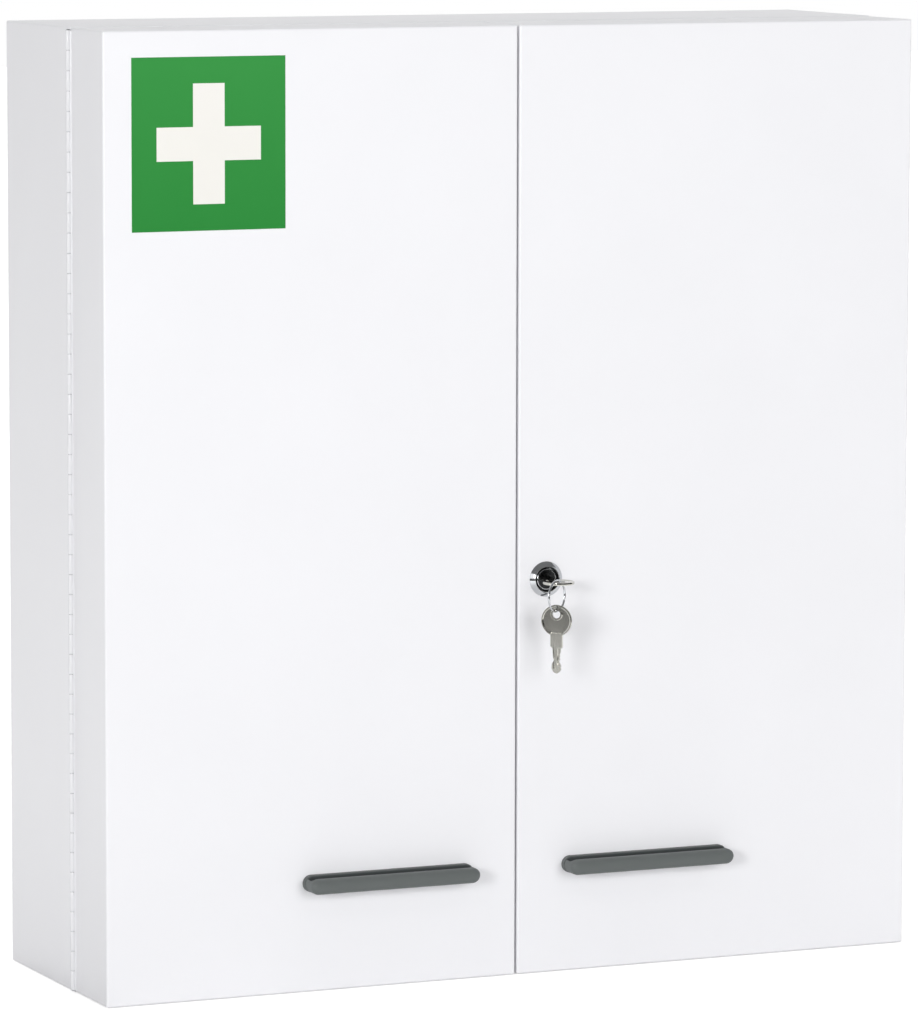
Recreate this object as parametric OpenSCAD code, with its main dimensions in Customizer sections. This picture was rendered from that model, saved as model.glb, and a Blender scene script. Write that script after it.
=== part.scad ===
// Lockable wall cabinet of folded sheet steel with two box doors.
// Millimetres, +Z up, doors towards -Y, origin at the middle of the footprint on the underside.

/* [Cabinet] */
// Width across the side panels, without the hinge barrels
cabinet_w = 644; // [560:1:900]
// Height
cabinet_h = 700; // [640:1:1000]
// Depth of the fixed body behind the doors
body_d = 133; // [110:1:240]
// Depth of the box doors
door_d = 65; // [60:1:110]
// Gap between the two doors
door_split = 1.6; // [1.2:0.1:3]
// How much shorter the doors are than the body, at the top and at the bottom
door_end_gap = 0.5; // [0.3:0.1:2]
// Sheet steel thickness
sheet_t = 1; // [0.8:0.1:1.2]
// Outside radius of the bends
bend_r = 1.6; // [1.4:0.1:2.5]
// Width of the returned edges round the openings
return_w = 16; // [15:1:20]

/* [Hinges] */
// Distance from one knuckle to the next
knuckle_pitch = 14.5; // [12:0.5:30]
// Outside diameter of the knuckles
barrel_d = 4; // [3.6:0.1:5]
// Diameter of the hinge pin
hinge_pin_d = 2; // [1.5:0.1:2.4]
// Thickness of a hinge leaf
leaf_t = 0.8; // [0.6:0.1:1]
// Width of a hinge leaf on its returned edge
leaf_w = 13; // [10:1:14]
// Distance from the end of the hinge to the end of the body
hinge_margin = 2; // [1.5:0.5:20]

/* [Shelves] */
// Height of the turned-down shelf edges
shelf_skirt = 15; // [10:1:25]
// Width of a slotted shelf rail
rail_w = 18; // [14:1:24]
// How far a rail stands in from the side panel
rail_depth = 5; // [4:0.5:8]
// Distance from one rail slot to the next
slot_pitch = 30; // [20:1:40]
// Slot of the lower shelf, counted from the bottom
lower_shelf_slot = 5; // [3:1:6]
// Slot of the middle shelf
middle_shelf_slot = 10; // [8:1:11]
// Slot of the upper shelf
upper_shelf_slot = 15; // [13:1:16]
// Size of the ledge that a shelf clip gives
clip_ledge = 12; // [9:1:16]

/* [Door trays] */
// Depth of a door tray
tray_d = 55; // [35:1:55]
// Height of the lip along the open side of a tray
tray_lip = 35; // [15:1:60]
// Height of the tabs at the ends of a tray
tray_tab = 12; // [8:1:30]

/* [Wall fixing] */
// Diameter of the holes in the back panel
wall_hole_d = 8; // [5:0.5:12]
// Distance between the holes across the cabinet
wall_hole_dx = 500; // [300:1:520]
// Distance between the holes along the height
wall_hole_dz = 560; // [300:1:600]

/* [Handles] */
// Length of a handle
handle_l = 134; // [120:1:200]
// Height of the handle's back rail
handle_h = 12.5; // [11:0.5:18]
// How far a handle stands out of the door
handle_out = 20.2; // [18:0.1:30]
// Height of the handles above the underside
handle_z = 80.5; // [60:0.5:150]
// Distance from a handle's inner end to the middle of the cabinet
handle_inset = 36.4; // [20:0.1:60]
// Radius of the finger groove along the top
groove_r = 4.2; // [3:0.1:4.8]
// Distance between the handle screws
handle_screws = 96; // [64:1:100]
// Shank diameter of the handle screws
handle_screw_d = 3.5; // [3:0.5:5]

/* [Lock] */
// Distance from the middle of the cabinet to the lock
lock_x = 22.9; // [20:0.1:26]
// Height of the lock above the underside
lock_z = 293.6; // [286:0.1:420]
// Outside diameter of the bezel
bezel_d = 26; // [24:0.5:30]
// How far the bezel stands out of the door
bezel_out = 3.4; // [3:0.1:6]
// Diameter of the threaded lock body
lock_body_d = 18; // [17.6:0.1:20]
// Length of the lock body behind the face of the door
lock_body_l = 20; // [20:0.5:26]
// Diameter of the plug
plug_d = 13; // [12:0.1:14]
// Diameter of the plug's head
plug_head_d = 16; // [15:0.1:16.2]
// Distance from the plug's axis to the tip of the cam
cam_reach = 36; // [32:0.5:40]
// Width of the cam
cam_w = 15; // [12:0.5:18]
// Thickness of the cam
cam_t = 2.5; // [2:0.1:3]

/* [Keys] */
// Diameter of a key's round bow
bow_d = 23.2; // [22:0.1:28]
// Thickness of the bow's rim and of the collar
key_t = 2; // [1.8:0.1:2.2]
// Diameter of the hole for the ring
key_hole_d = 6; // [5.5:0.1:6.5]
// Distance from the middle of the bow to the middle of the hole
key_hole_off = 4.7; // [4:0.1:5]
// Width of the collar between bow and blade
collar_w = 9.4; // [9:0.1:12]
// Distance from the middle of the bow to the end of the collar
collar_end = 20.3; // [18:0.1:24]
// Thickness of the blade
blade_t = 1.6; // [1.2:0.1:1.6]
// Radius of the ring's wire line
ring_r = 11.4; // [10.5:0.1:12]
// Diameter of the ring's wire
ring_wire_d = 1.6; // [1.2:0.1:1.8]

/* [Slide bolts] */
// Width of a bolt
bolt_w = 8; // [6:0.5:9]
// Thickness of a bolt
bolt_t = 2.5; // [2:0.1:3]
// Travel of a bolt
bolt_throw = 12; // [8:0.5:13]

/* [Sticker] */
// Width of the sticker
sticker_w = 117.4; // [80:0.1:160]
// Height of the sticker
sticker_h = 123.6; // [80:0.1:160]
// Distance from the door's outer side to the sticker
sticker_side = 21.5; // [5:0.5:60]
// Distance from the top of the cabinet to the sticker
sticker_top = 19.5; // [5:0.5:60]
// Distance from the sticker's edges to the ends of the cross
cross_margin = 18.9; // [10:0.1:30]
// Width of the arms of the cross
cross_bar = 24.1; // [15:0.1:35]

/* [Hidden] */
$fn = 48;

steel_white = "#f3f3f6";
zinc = "#b9bcc0";
chrome = "#d6d8da";
dark_nickel = "#6d6f70";
grey_plastic = "#626867";
black_rubber = "#2c2c2e";
sign_green = "#3c9a46";
sign_white = "#f8f6f0";

// Play of a shaft in its bore, all round
shaft_play = 0.05;
// Room that a sliding or loosely fitted piece has
slide_play = 0.3;
// Room round a piece that is set in a slot or a frame
clip_play = 0.2;
// Overshoot of a cut past the face it opens
cut = 1;

// Depths, from the doors' faces to the back
leaf_gap = 0.4;
door_gap = 2 * leaf_t + leaf_gap;
total_d = body_d + door_gap + door_d;
front_y = -total_d / 2;
door_rear_y = front_y + door_d;
hinge_y = door_rear_y + door_gap / 2;
body_front_y = door_rear_y + door_gap;
back_y = total_d / 2;

// Inside of the body
inner_w = cabinet_w - 2 * sheet_t;
inner_h = cabinet_h - 2 * sheet_t;
panel_y = back_y - sheet_t;
rear_return_y = panel_y - sheet_t;

// Doors
door_w = (cabinet_w - door_split) / 2;
door_h = cabinet_h - 2 * door_end_gap;
door_inner_w = door_w - 2 * sheet_t;
door_inner_h = door_h - 2 * sheet_t;
door_inner_z = door_end_gap + sheet_t;

// Hinge axis: just outside the side panel, so that the barrel clears both bends
barrel_r = barrel_d / 2;
barrel_clear = 0.35;
bend_reach = bend_r + barrel_r + barrel_clear;
hinge_off = sqrt(pow(bend_reach, 2) - pow(door_gap / 2 + bend_r, 2)) - bend_r;
hinge_x = cabinet_w / 2 + hinge_off;
knuckle_gap = 0.3;
knuckle_count = 2 * floor((cabinet_h - 2 * hinge_margin) / (2 * knuckle_pitch));
hinge_l = knuckle_count * knuckle_pitch;
hinge_z = (cabinet_h - hinge_l) / 2;
strip_start = barrel_r + slide_play;
strip_w = hinge_off + leaf_w - strip_start;
pin_head_r = barrel_r * 0.8;
pin_head_t = 0.6;

// Shelf rails, clips and shelves
rail_end = 20;
rail_inset = 20;
rail_l = cabinet_h - 2 * rail_end;
rail_y = [body_front_y + sheet_t + rail_inset, rear_return_y - rail_inset];
slot_w = 3;
slot_h = 9;
slot_count = floor(rail_l / slot_pitch);
clip_t = 1.5;
clip_h = 12;
clip_tongue = 2;
ledge_rise = 4;
shelf_play = 1;
shelf_setback = 3;
shelf_y = body_front_y + sheet_t + shelf_setback;
shelf_d = rear_return_y - shelf_play - shelf_y;
shelf_w = inner_w - 2 * (rail_depth + shelf_play);

function slot_z(i) = rail_end + (i + 0.5) * slot_pitch;
function shelf_z(i) = slot_z(i) + ledge_rise;

// Door trays share the door's inside height
tray_count = 3;
function tray_z(i) = door_inner_z + i * door_inner_h / tray_count;

// Door bumpers
bumper_r = 4;
bumper_x = 60;
bumper_t = door_gap - slide_play;

// Handles
rail_t = 4.4;
seam_w = 0.8;
seam_in = 0.8;
bar_in = 0.2;
bar_fillet = 1.6;
handle_x = handle_inset + handle_l / 2;
handle_r = handle_h / 2;
handle_straight = handle_l - handle_h;
screw_depth = 12;
screw_head_r = 4;
screw_head_t = 2.4;
sheet_hole_play = 0.2;

// Lock, as distances out of the face of the door
bezel_top_r = 9.9;
recess_r = 9.2;
recess_floor = 1;
plug_face = 2.2;
plug_head_seat = -1;
keyway_w = 7.6;
keyway_h = blade_t + 0.4;
plug_tail = 0.4;
cam_square = 7;
cam_out = -lock_body_l - plug_tail;
cam_screw_r = 2;
cam_screw_depth = 2;
cam_head_r = 5;
cam_head_t = 2.5;
nut_af = 24;
nut_t = 4;

// Cam slots in the free sides of the two doors
cam_room = 1.7;
cam_corner_r = sqrt(pow(cam_reach, 2) + pow(cam_w / 2, 2));
cam_slot_top = sqrt(pow(cam_corner_r, 2) - pow(lock_x - door_split / 2 - sheet_t, 2)) + cam_room;
cam_slot_bottom = cam_w / 2 + cam_room;

// Keys
blade_l = 18.6;
blade_wide = 3.6;
key_play = 0.1;
rim_w = 1.3;
face_dip = 0.25;
dish_end = 8.8;
eye_rim_w = 1.6;
bow_out = plug_face + key_play + collar_end;
hole_out = bow_out + key_hole_off;

// The ring hangs over the rim of the door key's bow, turned away from straight ahead
ring_turn = 55;
spare_turn = 41;
wire_r = ring_wire_d / 2;
ring_side = [-sin(ring_turn), -cos(ring_turn), 0];
ring_shift = key_hole_d / 2 + 3.6;
rim_corner_side = ring_shift - key_hole_d / 2;
ring_inner_r = ring_r - wire_r;
ring_drop = sqrt(pow(ring_inner_r - slide_play, 2) - pow(rim_corner_side, 2)) - key_t / 2;
ring_pos = [lock_x, front_y - hole_out, lock_z - ring_drop] + ring_shift * ring_side;
spare_pivot = ring_pos - [0, 0, ring_r];
spare_hang = key_hole_d / 2 - wire_r - slide_play + key_hole_off;

// Slide bolts, for the upper one; the lower one is its mirror image
bolt_play = 0.2;
bolt_x = -door_split / 2 - sheet_t - (return_w - sheet_t) / 2;
bolt_y = door_rear_y - sheet_t - bolt_play;
bolt_clear = 6;
hook_top = cabinet_h - return_w - bolt_clear;
hook_h = 22;
hook_w = 8;
hook_side_gap = 2;
hook_back_gap = 1.2;
hook_x = -door_split / 2 - return_w - hook_side_gap - hook_w;
hook_y = body_front_y + sheet_t + hook_back_gap;
arm_h = 8;
arm_z = hook_top - hook_h;
knob_r = 4;
knob_l = 7;
guide_h = 10;
guide_strap = 1.2;
stop_gap = 2;
upper_guide_z = arm_z - stop_gap - guide_h;
knob_z = upper_guide_z - stop_gap - bolt_throw - knob_r;
lower_guide_z = knob_z - knob_r - stop_gap - guide_h;
bar_z = lower_guide_z - stop_gap - bolt_throw;

// Sticker
sticker_t = 0.2;

// Plain building blocks

// Rectangle from the origin with rounded corners
module rounded_rect(w, h, r) {
    translate([r, 0]) square([w - 2 * r, h]);
    translate([0, r]) square([w, h - 2 * r]);
    for (x = [r, w - r], y = [r, h - r]) translate([x, y]) circle(r = r);
}

// Block from the origin with every edge bent to the same radius: three crossing extrusions
module bent_block(w, d, h) {
    intersection() {
        linear_extrude(h) rounded_rect(w, d, bend_r);
        translate([0, d, 0]) rotate([90, 0, 0]) linear_extrude(d) rounded_rect(w, h, bend_r);
        rotate([90, 0, 90]) linear_extrude(w) rounded_rect(d, h, bend_r);
    }
}

// Cylinder whose axis points out of the doors, from the given distance out of their face
module outward(x, z, out, h, r, r_end = 0) {
    translate([x, front_y - out, z])
        rotate([90, 0, 0]) cylinder(h = h, r1 = r, r2 = r_end > 0 ? r_end : r);
}

module left_and_right(side) {
    if (side < 0) children();
    else mirror([1, 0, 0]) children();
}

module upper_and_lower(side) {
    if (side > 0) children();
    else translate([0, 0, cabinet_h]) mirror([0, 0, 1]) children();
}

// Fixed body

// Folded sheet all round, with its edges returned at the front and at the back
module body_blank() {
    difference() {
        translate([-cabinet_w / 2, body_front_y, 0]) intersection() {
            bent_block(cabinet_w, body_d + 2 * bend_r, cabinet_h);
            cube([cabinet_w, body_d, cabinet_h]);
        }
        translate([-inner_w / 2, body_front_y + sheet_t, sheet_t])
            cube([inner_w, rear_return_y - sheet_t - body_front_y - sheet_t, inner_h]);
        translate([-inner_w / 2, panel_y, sheet_t]) cube([inner_w, sheet_t + cut, inner_h]);
        translate([-cabinet_w / 2 + return_w, body_front_y - cut, return_w])
            cube([cabinet_w - 2 * return_w, body_d + cut, cabinet_h - 2 * return_w]);
    }
}

// The body behind its front frame
module behind_frame() {
    translate([-cabinet_w / 2, body_front_y + bend_r, 0]) cube([cabinet_w, body_d, cabinet_h]);
}

module body_shell() {
    color(steel_white) intersection() {
        body_blank();
        behind_frame();
    }
}

// Angle frame round the opening, which carries the hinges and the bumpers
module front_frame() {
    color(steel_white) difference() {
        body_blank();
        behind_frame();
    }
}

module back_panel() {
    color(steel_white) difference() {
        translate([-inner_w / 2 + clip_play, panel_y, sheet_t + clip_play])
            cube([inner_w - 2 * clip_play, sheet_t, inner_h - 2 * clip_play]);
        for (x = [-1, 1] * wall_hole_dx / 2, dz = [-1, 1] * wall_hole_dz / 2)
            translate([x, panel_y - cut, cabinet_h / 2 + dz])
                rotate([-90, 0, 0]) cylinder(h = sheet_t + 2 * cut, d = wall_hole_d);
    }
}

// Channel with its open side on the panel and a slot at each shelf height
module shelf_rail() {
    difference() {
        cube([rail_depth, rail_w, rail_l]);
        translate([-cut, sheet_t, -cut])
            cube([rail_depth - sheet_t + cut, rail_w - 2 * sheet_t, rail_l + 2 * cut]);
        for (i = [0 : slot_count - 1])
            translate([0, (rail_w - slot_w) / 2, slot_z(i) - rail_end - slot_h / 2])
                cube([rail_depth + cut, slot_w, slot_h]);
    }
}

module shelf_rails(side) {
    color(steel_white) left_and_right(side) for (y = rail_y)
        translate([-inner_w / 2, y - rail_w / 2, rail_end]) shelf_rail();
}

// Clip with its tongue through a slot and its ledge under the shelf
module shelf_clip() {
    translate([-sheet_t - clip_tongue, -slot_w / 2 + clip_play, -slot_h / 2 + clip_play])
        cube([sheet_t + clip_tongue, slot_w - 2 * clip_play, slot_h - 2 * clip_play]);
    translate([0, -clip_ledge / 2, ledge_rise - clip_h]) cube([clip_t, clip_ledge, clip_h]);
    translate([0, -clip_ledge / 2, ledge_rise - clip_t]) cube([clip_ledge, clip_ledge, clip_t]);
}

module shelf_clips() {
    color(zinc) for (side = [-1, 1]) left_and_right(side)
        for (y = rail_y, i = [lower_shelf_slot, middle_shelf_slot, upper_shelf_slot])
            translate([-inner_w / 2 + rail_depth, y, slot_z(i)]) shelf_clip();
}

module shelf(i) {
    color(steel_white) translate([-shelf_w / 2, shelf_y, shelf_z(i)]) {
        cube([shelf_w, shelf_d, sheet_t]);
        for (y = [0, shelf_d - sheet_t])
            translate([0, y, -shelf_skirt]) cube([shelf_w, sheet_t, shelf_skirt + sheet_t]);
    }
}

// Leaf with every second knuckle, seen from its own barrel axis: the strip lies on the +Y side
module hinge_leaf(first) {
    difference() {
        union() {
            translate([strip_start, leaf_gap / 2, 0]) cube([strip_w, leaf_t, hinge_l]);
            for (i = [first : 2 : knuckle_count - 1])
                translate([0, 0, i * knuckle_pitch + knuckle_gap / 2]) {
                    cylinder(h = knuckle_pitch - knuckle_gap, r = barrel_r);
                    translate([0, leaf_gap / 2, 0])
                        cube([strip_start + cut, leaf_t, knuckle_pitch - knuckle_gap]);
                }
        }
        translate([0, 0, -cut]) cylinder(h = hinge_l + 2 * cut, r = hinge_pin_d / 2 + shaft_play);
    }
}

module hinge_body_leaf(side) {
    color(steel_white) left_and_right(side) translate([-hinge_x, hinge_y, hinge_z]) hinge_leaf(0);
}

module hinge_door_leaf(side) {
    color(steel_white) left_and_right(side)
        translate([-hinge_x, hinge_y, hinge_z]) mirror([0, 1, 0]) hinge_leaf(1);
}

module hinge_pin(side) {
    color(zinc) left_and_right(side) translate([-hinge_x, hinge_y, hinge_z]) {
        cylinder(h = hinge_l, d = hinge_pin_d);
        for (z = [-pin_head_t, hinge_l]) translate([0, 0, z]) cylinder(h = pin_head_t, r = pin_head_r);
    }
}

module door_bumpers() {
    color(black_rubber) for (x = [-bumper_x, bumper_x], z = [return_w / 2, cabinet_h - return_w / 2])
        translate([x, body_front_y, z]) rotate([90, 0, 0]) cylinder(h = bumper_t, r = bumper_r);
}

// Doors

// The left door's box; the right door is its mirror image
module door_box_blank() {
    difference() {
        translate([-cabinet_w / 2, front_y, door_end_gap]) bent_block(door_w, door_d, door_h);
        translate([-cabinet_w / 2 + sheet_t, front_y + sheet_t, door_inner_z])
            cube([door_inner_w, door_d - 2 * sheet_t, door_inner_h]);
        translate([-cabinet_w / 2 + return_w, front_y + 2 * sheet_t, door_end_gap + return_w])
            cube([door_w - 2 * return_w, door_d, door_h - 2 * return_w]);
        for (x = [-1, 1] * handle_screws / 2)
            outward(x - handle_x, handle_z, -sheet_t - cut, sheet_t + 2 * cut,
                handle_screw_d / 2 + sheet_hole_play);
        translate([-door_split / 2 - sheet_t - cut, front_y - cam_out - cam_room,
                lock_z - cam_slot_bottom])
            cube([sheet_t + 2 * cut, cam_t + 2 * cam_room, cam_slot_bottom + cam_slot_top]);
    }
}

module left_door_box() {
    color(steel_white) door_box_blank();
}

module right_door_box() {
    color(steel_white) difference() {
        mirror([1, 0, 0]) door_box_blank();
        outward(lock_x, lock_z, -sheet_t - cut, sheet_t + 2 * cut, lock_body_d / 2 + sheet_hole_play);
    }
}

// Folded tray between the sides of a door, with a lip along the open side
module door_tray(side, i) {
    color(steel_white) left_and_right(side)
        translate([-cabinet_w / 2 + sheet_t, front_y + sheet_t, tray_z(i)]) {
            cube([door_inner_w, tray_d, sheet_t]);
            translate([0, tray_d - sheet_t, 0]) cube([door_inner_w, sheet_t, tray_lip]);
            for (x = [0, door_inner_w - sheet_t]) translate([x, 0, 0]) cube([sheet_t, tray_d, tray_tab]);
        }
}

// Half of the handle's section: across from its middle, and out of the door
module handle_section() {
    bar_r = handle_r - bar_in;
    bar_start = rail_t + seam_w;
    square([handle_r, rail_t]);
    square([handle_r - seam_in, bar_start + cut]);
    translate([0, bar_start]) square([bar_r, handle_out - bar_start - bar_fillet]);
    translate([0, bar_start]) square([bar_r - bar_fillet, handle_out - bar_start]);
    translate([bar_r - bar_fillet, handle_out - bar_fillet]) circle(r = bar_fillet);
}

module handle(side) {
    color(grey_plastic) translate([side * handle_x, front_y, handle_z]) difference() {
        union() {
            rotate(180, [1, 0, 1]) linear_extrude(handle_straight, center = true) {
                handle_section();
                mirror([1, 0]) handle_section();
            }
            for (x = [-1, 1] * handle_straight / 2)
                translate([x, 0, 0]) rotate([90, 0, 0]) rotate_extrude() handle_section();
        }
        translate([0, -rail_t - groove_r, handle_r]) rotate([0, 90, 0])
            cylinder(h = handle_l + 2 * cut, r = groove_r, center = true);
        for (x = [-1, 1] * handle_screws / 2)
            translate([x, cut, 0]) rotate([90, 0, 0])
                cylinder(h = screw_depth + cut, r = handle_screw_d / 2 + shaft_play);
    }
}

module handle_screw_pair(side) {
    color(zinc) for (dx = [-1, 1] * handle_screws / 2) {
        outward(side * handle_x + dx, handle_z, -sheet_t, screw_depth + sheet_t, handle_screw_d / 2);
        outward(side * handle_x + dx, handle_z, -sheet_t - screw_head_t, screw_head_t, screw_head_r);
    }
}

// Sticker on the left door

module cross_outline() {
    translate([(sticker_w - cross_bar) / 2, cross_margin])
        square([cross_bar, sticker_h - 2 * cross_margin]);
    translate([cross_margin, (sticker_h - cross_bar) / 2])
        square([sticker_w - 2 * cross_margin, cross_bar]);
}

module on_sticker() {
    translate([-cabinet_w / 2 + sticker_side, front_y, cabinet_h - sticker_top - sticker_h])
        rotate([90, 0, 0]) linear_extrude(sticker_t) children();
}

module sticker_field() {
    color(sign_green) on_sticker() difference() {
        square([sticker_w, sticker_h]);
        cross_outline();
    }
}

module sticker_cross() {
    color(sign_white) on_sticker() cross_outline();
}

// Slide bolts of the left door

module slide_bolt(side) {
    color(zinc) upper_and_lower(side) {
        translate([bolt_x - bolt_w / 2, bolt_y - bolt_t, bar_z])
            cube([bolt_w, bolt_t, arm_z + arm_h - bar_z]);
        translate([hook_x, bolt_y - bolt_t, arm_z])
            cube([bolt_x + bolt_w / 2 - hook_x, bolt_t, arm_h]);
        translate([hook_x, bolt_y - bolt_t, arm_z])
            cube([hook_w, hook_y + 2 * bolt_t - bolt_y, arm_h]);
        translate([hook_x, hook_y, arm_z]) cube([hook_w, bolt_t, hook_h]);
    }
}

module bolt_knob(side) {
    color(black_rubber) upper_and_lower(side)
        translate([bolt_x, bolt_y - bolt_t, knob_z]) rotate([90, 0, 0]) cylinder(h = knob_l, r = knob_r);
}

module bolt_guides() {
    channel_w = bolt_w + 2 * slide_play;
    channel_d = bolt_play + bolt_t + slide_play;
    guide_w = return_w - sheet_t;
    color(zinc) for (side = [-1, 1], z = [lower_guide_z, upper_guide_z]) upper_and_lower(side)
        translate([bolt_x, door_rear_y - sheet_t, z]) difference() {
            translate([-guide_w / 2, -channel_d - guide_strap, 0])
                cube([guide_w, channel_d + guide_strap, guide_h]);
            translate([-channel_w / 2, -channel_d, -cut])
                cube([channel_w, channel_d + cut, guide_h + 2 * cut]);
        }
}

// Lock in the right door

module lock_housing() {
    color(chrome) difference() {
        union() {
            outward(lock_x, lock_z, 0, bezel_out, bezel_d / 2, bezel_top_r);
            outward(lock_x, lock_z, -lock_body_l, lock_body_l, lock_body_d / 2);
        }
        outward(lock_x, lock_z, recess_floor, bezel_out, recess_r);
        outward(lock_x, lock_z, plug_head_seat, bezel_out, plug_head_d / 2 + slide_play);
        outward(lock_x, lock_z, -lock_body_l - cut, lock_body_l + 2 * cut, plug_d / 2 + shaft_play);
    }
}

module lock_nut() {
    color(zinc) difference() {
        translate([lock_x, front_y + sheet_t + nut_t, lock_z]) rotate([90, 0, 0])
            cylinder(h = nut_t, d = nut_af / cos(30), $fn = 6);
        outward(lock_x, lock_z, -sheet_t - nut_t - cut, nut_t + 2 * cut, lock_body_d / 2 + shaft_play);
    }
}

module lock_plug() {
    color(dark_nickel) difference() {
        union() {
            outward(lock_x, lock_z, plug_head_seat + shaft_play,
                plug_face - plug_head_seat - shaft_play, plug_head_d / 2);
            outward(lock_x, lock_z, cam_out, lock_body_l + plug_tail, plug_d / 2);
            translate([lock_x - cam_square / 2, front_y - cam_out - cut, lock_z - cam_square / 2])
                cube([cam_square, cam_t + cut, cam_square]);
        }
        translate([lock_x - keyway_w / 2, front_y - plug_face - cut, lock_z - keyway_h / 2])
            cube([keyway_w, blade_l + key_play + 1 + cut, keyway_h]);
        outward(lock_x, lock_z, cam_out - cam_t - cut, cam_t + cam_screw_depth + cut,
            cam_screw_r + shaft_play);
    }
}

// Cam as it stands unlocked, pointing up
module lock_cam() {
    color(zinc) translate([lock_x, front_y - cam_out + cam_t, lock_z]) rotate([90, 0, 0])
        linear_extrude(cam_t) difference() {
            union() {
                circle(d = cam_w);
                translate([-cam_w / 2, 0]) square([cam_w, cam_reach]);
            }
            square(cam_square + 2 * shaft_play, center = true);
        }
}

module cam_screw() {
    color(zinc) {
        outward(lock_x, lock_z, cam_out - cam_t, cam_t + cam_screw_depth, cam_screw_r);
        outward(lock_x, lock_z, cam_out - cam_t - cam_head_t, cam_head_t, cam_head_r);
    }
}

// Keys

// Outline of the blade from the end of the collar, with two bitting cuts and a wide tip
module blade_outline() {
    polygon([[-2.9, -1], [-2.9, 1.6], [-2.5, 6.5], [-2, 9], [-blade_wide, 11.5], [-blade_wide, 15.5],
        [-1, blade_l - 0.4], [0.2, blade_l], [1.4, blade_l - 0.5], [blade_wide, 15.8],
        [blade_wide, 12.4], [2.3, 9.8], [2.9, 6], [2.6, 4.2], [3.4, 1.4], [3.4, -1]]);
}

// Key in the XY plane: the middle of the bow at the origin and the blade along +Y
module key_shape() {
    eye = [0, -key_hole_off, 0];
    difference() {
        union() {
            cylinder(h = key_t, d = bow_d, center = true);
            translate([-collar_w / 2, 0, -key_t / 2]) cube([collar_w, collar_end, key_t]);
            translate([0, collar_end, -blade_t / 2]) linear_extrude(blade_t) blade_outline();
        }
        for (z = [-1, 1]) translate([0, 0, z * key_t / 2]) difference() {
            cylinder(h = 2 * face_dip, r = bow_d / 2 - rim_w, center = true);
            translate(eye) cylinder(h = key_t, r = key_hole_d / 2 + eye_rim_w, center = true);
            translate([-collar_w / 2, dish_end, -key_t]) cube([collar_w, bow_d, 2 * key_t]);
        }
        translate(eye) cylinder(h = key_t + 2 * cut, d = key_hole_d, center = true);
    }
}

module door_key() {
    color(zinc) translate([lock_x, front_y - bow_out, lock_z]) key_shape();
}

module key_ring() {
    color(chrome) translate(ring_pos) rotate([0, 0, 90 - ring_turn]) rotate([90, 0, 0])
        rotate_extrude() translate([ring_r, 0]) circle(r = wire_r);
}

module spare_key() {
    color(zinc) translate(spare_pivot - [0, 0, spare_hang]) rotate([0, 0, -spare_turn])
        rotate([-90, 0, 0]) key_shape();
}

body_shell();
front_frame();
back_panel();
shelf_rails(-1);  // left_shelf_rails
shelf_rails(1);  // right_shelf_rails
shelf_clips();
shelf(lower_shelf_slot);  // lower_shelf
shelf(middle_shelf_slot);  // middle_shelf
shelf(upper_shelf_slot);  // upper_shelf
hinge_body_leaf(-1);  // left_hinge_body_leaf
hinge_body_leaf(1);  // right_hinge_body_leaf
hinge_pin(-1);  // left_hinge_pin
hinge_pin(1);  // right_hinge_pin
door_bumpers();
left_door_box();
hinge_door_leaf(-1);  // left_hinge_door_leaf
door_tray(-1, 0);  // left_bottom_tray
door_tray(-1, 1);  // left_middle_tray
door_tray(-1, 2);  // left_top_tray
handle(-1);  // left_handle
handle_screw_pair(-1);  // left_handle_screws
sticker_field();
sticker_cross();
bolt_guides();
slide_bolt(1);  // upper_bolt
bolt_knob(1);  // upper_bolt_knob
slide_bolt(-1);  // lower_bolt
bolt_knob(-1);  // lower_bolt_knob
right_door_box();
hinge_door_leaf(1);  // right_hinge_door_leaf
door_tray(1, 0);  // right_bottom_tray
door_tray(1, 1);  // right_middle_tray
door_tray(1, 2);  // right_top_tray
handle(1);  // right_handle
handle_screw_pair(1);  // right_handle_screws
lock_housing();
lock_nut();
lock_plug();
lock_cam();
cam_screw();
door_key();
key_ring();
spare_key();
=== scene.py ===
import math
import bmesh
import bpy
from mathutils import Matrix, Vector


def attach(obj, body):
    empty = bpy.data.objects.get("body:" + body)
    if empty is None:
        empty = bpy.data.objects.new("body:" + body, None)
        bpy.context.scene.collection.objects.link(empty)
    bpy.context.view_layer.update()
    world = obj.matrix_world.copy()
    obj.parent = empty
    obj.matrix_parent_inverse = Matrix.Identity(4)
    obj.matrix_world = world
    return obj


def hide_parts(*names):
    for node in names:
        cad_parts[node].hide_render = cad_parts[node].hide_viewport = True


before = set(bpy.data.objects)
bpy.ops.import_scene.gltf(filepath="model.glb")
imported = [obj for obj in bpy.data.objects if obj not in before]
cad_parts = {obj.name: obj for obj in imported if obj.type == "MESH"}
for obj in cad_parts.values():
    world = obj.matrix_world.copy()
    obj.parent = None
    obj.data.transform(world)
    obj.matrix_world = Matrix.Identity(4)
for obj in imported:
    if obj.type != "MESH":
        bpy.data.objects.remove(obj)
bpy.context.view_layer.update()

# All lengths below are millimetres in the cabinet's own frame, and become metres in the meshes
MM = 0.001
FRONT_Y = -100.0
LOCK_X = 22.9
LOCK_Z = 293.6
HANDLE_X = 103.4
HANDLE_Z = 80.5
HANDLE_SCREW_STEP = 96
HINGE_X = 323.373
HINGE_Y = -34.0
RING_X = 17.494
RING_Y = -131.086
RING_Z = 284.95
SPARE_KEY_Z = 266.95
# Strength of the white surround on what it lights, and of the floor's own glow near the cabinet
WORLD_LIGHT = 0.38
FLOOR_LIFT = 0.5


# Small helpers

def linear(hex_code, alpha=1.0):
    """Turns an sRGB hex colour to linear."""
    channels = [int(hex_code[i:i + 2], 16) / 255 for i in (1, 3, 5)]
    return [c / 12.92 if c <= 0.04045 else ((c + 0.055) / 1.055) ** 2.4 for c in channels] + [alpha]


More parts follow.
